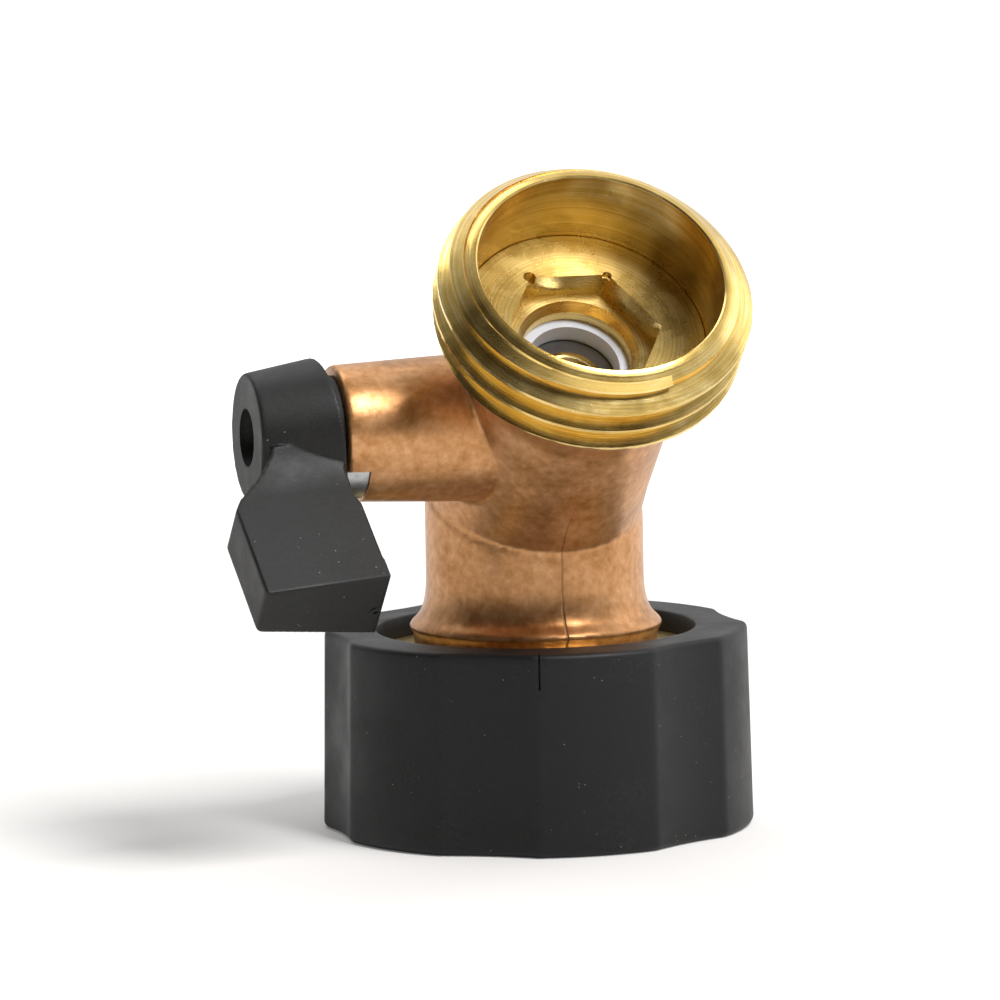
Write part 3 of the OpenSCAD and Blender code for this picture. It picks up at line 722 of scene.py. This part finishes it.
class VALVE_OT_lever(bpy.types.Operator):
    """Moulded lever: round hub, hollow saddle and wide flat arm"""
    bl_idname = "valve.lever"
    bl_label = "Lever"

    def execute(self, context):
        grain = context.scene.valve_sizes.lever_grain / MM
        on_lever = (ON_STEM @ Matrix.Translation((0, 0, HUB_MID * MM))
                    @ Matrix.Rotation(math.radians(LEVER_CANT), 4, "X"))
        r_in = 5.9
        hub = settle(turned("lever_arm", [(6.85, 20.1), (5.53, 27.35), (5.42, 27.55)], 144), ON_STEM)
        inner_face = on_lever @ Vector((0, 0, -HUB_T / 2 * MM))
        slice_off(hub, inner_face / MM, on_lever.to_3x3() @ Vector((0, 0, -1)))
        # arm: its outline from the side (p along the arm, t towards the mouth), crossed with the front's
        r45, front, saddle = r_in * math.cos(math.radians(45)), 3.2, 10.0
        high = front + saddle
        mid = r45 + math.sqrt(saddle ** 2 - (high - r45) ** 2)
        a0 = math.asin((mid - r45) / saddle)
        hollow = [(mid - saddle * math.sin(a0 * (1 - i / 14)), high - saddle * math.cos(a0 * (1 - i / 14)))
                  for i in range(15)]
        back = math.radians(40)
        side = [(0, 0)] + hollow + [(ARM_L, front), (ARM_L, -4.9),
                                    (r_in * math.sin(back), -r_in * math.cos(back))]
        arm = prism("arm", [(t, -p) for p, t in side], -12, 12)
        face = [(0, -HUB_T / 2), (5.2, -2.7), (9.6, -2.62), (10.5, -2.98), (ARM_L, -3.06), (ARM_L, 7.7),
                (18.2, 8.0), (9.4, 7.95), (8.4, 7.3), (6.0, 4.6), (4.6, 3.5), (3.4, 3.0), (0, HUB_T / 2)]
        cross = prism("cross", face, -20, 20)
        settle(cross, Matrix(((0, 0, 1, 0), (-1, 0, 0, 0), (0, 1, 0, 0), (0, 0, 0, 1))))
        edit(cross)
        tidy_normals()
        combine(arm, cross, "INTERSECT")
        slope = math.atan((4.7 - 2.1) / 11)
        slice_off(arm, (-4.7, 0, -3), (-math.cos(slope), 0, math.sin(slope)))
        # gate mark on the tip, near its inner edge
        gate = turned("gate", [(0.5, 0), (0.45, 0.14), (0.2, 0.16), (0.2, 0.02)], 24)
        settle(gate, Matrix.Translation((-1.5 * MM, -18.45 * MM, -2.4 * MM))
               @ Matrix.Rotation(math.radians(90), 4, "X"))
        settle(hub, on_lever.inverted())
        join(hub, arm)
        soften(hub, grain, 5)
        join(hub, gate)
        settle(hub, on_lever)
        pocket = turned("pocket", [(7.4, 18), (7.4, 20.12), (5.96, 20.13), (5.96, 21.0)], 96)
        combine(hub, settle(pocket, ON_STEM))
        well = turned("well", [(1.35, 20.5), (1.35, 23.39), (2.35, 23.4), (2.35, 26.75), (2.5, 27.1),
                               (2.5, 30)], 96)
        combine(hub, settle(well, ON_STEM))
        square = [(2.15, 2.15), (-2.15, 2.15), (-2.15, -2.15), (2.15, -2.15)]
        combine(hub, settle(prism("square", square, 20, 22.5), ON_STEM))
        finish_piece(hub, "lever_assembly", "lever_plastic", FINISH["lever"], "lever", angle=40)
        return {"FINISHED"}


SMALL_PARTS = {
    "chrome": ("ball",),
    "ptfe": ("outer_seat", "inner_seat", "stem_washer"),
    "stem": ("stem", "gland_bush"),
    "zinc": ("lever_screw", "swivel_ring"),
    "plate": ("stop_plate",),
    "rubber": ("inlet_washer", "stem_oring_inner", "stem_oring_outer"),
}


class VALVE_OT_small_parts(bpy.types.Operator):
    """Finishes of the smaller parts, which keep their engineering shapes"""
    bl_idname = "valve.small_parts"
    bl_label = "Small parts"

    def execute(self, context):
        for finish, names in SMALL_PARTS.items():
            for name in names:
                NODES[name].data.materials.clear()
                NODES[name].data.materials.append(FINISH[finish])
        return {"FINISHED"}


class VALVE_OT_stage(bpy.types.Operator):
    """Pale floor, soft studio light and the camera"""
    bl_idname = "valve.stage"
    bl_label = "Stage"

    def execute(self, context):
        scene = context.scene
        deselect()
        bpy.ops.mesh.primitive_plane_add(size=6, location=(0, 0, -0.00002))
        floor = bpy.context.object
        floor.name = "floor"
        m, tree, shader, place = material("seamless_paper", "#FFFFFF", 0.0, 0.55)
        tree.links.new(ramp(tree, noise(tree, place, 60, 2), [(0.3, "#DEDCDA"), (0.7, "#E0DEDC")]),
                       shader.inputs["Base Color"])
        shader.inputs["Specular IOR Level"].default_value = 0.0
        shader.inputs["Emission Color"].default_value = (1, 1, 1, 1)
        # painted light: the paper glows, faintly beside the object and more brightly further away from it
        away = node(tree, "ShaderNodeVectorMath", [(0, place)], operation="LENGTH").outputs["Value"]
        tree.links.new(spread(tree, away, 0.12, 1.1, 0.12, 0.50), shader.inputs["Emission Strength"])
        floor.data.materials.append(m)
        settle(floor)

        def soft_box(name, place, target, size, power, colour="#FFFFFF"):
            bpy.ops.object.light_add(type="AREA", location=place)
            lamp = bpy.context.object
            lamp.name = name
            lamp.data.shape = "RECTANGLE"
            lamp.data.size, lamp.data.size_y = size
            lamp.data.energy = power
            lamp.data.color = linear(colour)[:3]
            lamp.rotation_euler = (Vector(target) - Vector(place)).to_track_quat("-Z", "Y").to_euler()
            return lamp

        # name, place, target, size in metres and power in watts
        soft_box("key", (0.20, -0.41, 0.62), (0, 0, 0.035), (0.26, 0.26), 5.6)
        soft_box("window", (0.60, 0.10, 0.30), (0, 0, 0.02), (0.50, 0.40), 0.5)
        soft_box("top", (-0.10, 0.30, 0.65), (0, 0, 0.03), (0.40, 0.30), 0.9)

        world = bpy.data.worlds.new("studio")
        scene.world = world
        world.use_nodes = True
        tree = world.node_tree
        back = tree.nodes["Background"]
        # white cove behind and to the right, a darker room to the left and on the camera's side
        sky = node(tree, "ShaderNodeTexCoord").outputs["Generated"]
        aim = node(tree, "ShaderNodeVectorMath", [(0, sky)], operation="DOT_PRODUCT")
        aim.inputs[1].default_value = (0.55, 0.83, 0.05)
        tone = spread(tree, aim.outputs["Value"], 0.0, 1.0, -0.5, 0.6)
        tree.links.new(ramp(tree, tone, [(0.0, "#3A3733"), (1.0, "#FFFFFF")]), back.inputs["Color"])
        back.inputs["Strength"].default_value = 0.95

        az, el, roll = math.radians(-15.99), math.radians(6.93), math.radians(-0.99)
        side = Vector((math.cos(az), math.sin(az), 0))
        toward = Vector((math.sin(az) * math.cos(el), -math.cos(az) * math.cos(el), math.sin(el)))
        up = toward.cross(side)
        look = side * -2.94 * MM + Vector((0, 0, 28.65 * MM))
        right = side * math.cos(roll) + up * math.sin(roll)
        over = up * math.cos(roll) - side * math.sin(roll)
        camera = bpy.data.objects.new("camera", bpy.data.cameras.new("camera"))
        scene.collection.objects.link(camera)
        turn = Matrix((right, over, toward)).transposed().to_4x4()
        distance, lens = 0.6, 246.6288
        camera.matrix_world = Matrix.Translation(look + toward * distance) @ turn
        camera.data.sensor_width = 36
        camera.data.lens = lens
        camera.data.clip_start, camera.data.clip_end = 0.01, 20
        scene.camera = camera
        scene.view_settings.view_transform = "Standard"
        scene.view_settings.look = "None"
        return {"FINISHED"}


OPERATORS = (VALVE_OT_nut, VALVE_OT_insert, VALVE_OT_body, VALVE_OT_outlet, VALVE_OT_retainer, VALVE_OT_lever,
             VALVE_OT_small_parts, VALVE_OT_stage)


class VALVE_PT_panel(bpy.types.Panel):
    """Lists the pieces"""
    bl_label = "Hose Valve"
    bl_idname = "VALVE_PT_panel"
    bl_space_type = "VIEW_3D"
    bl_region_type = "UI"
    bl_category = "Hose Valve"

    def draw(self, context):
        for group in (context.scene.valve_sizes, context.scene.valve_finish):
            for name in group.__annotations__:
                self.layout.prop(group, name)
        for op in OPERATORS:
            self.layout.operator(op.bl_idname)


CLASSES = (ValveSizes, ValveFinish) + OPERATORS + (VALVE_PT_panel,)


def register():
    """Adds the classes and the scene's two property groups."""
    for cls in CLASSES:
        bpy.utils.register_class(cls)
    bpy.types.Scene.valve_sizes = bpy.props.PointerProperty(type=ValveSizes)
    bpy.types.Scene.valve_finish = bpy.props.PointerProperty(type=ValveFinish)


def unregister():
    """Takes away what register() added."""
    del bpy.types.Scene.valve_finish
    del bpy.types.Scene.valve_sizes
    for cls in reversed(CLASSES):
        bpy.utils.unregister_class(cls)


def main():
    """Registers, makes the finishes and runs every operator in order."""
    register()
    FINISH.update(make_materials(bpy.context.scene.valve_finish))
    for op in OPERATORS:
        group, name = op.bl_idname.split(".")
        getattr(getattr(bpy.ops, group), name)()


if __name__ == "__main__":
    main()
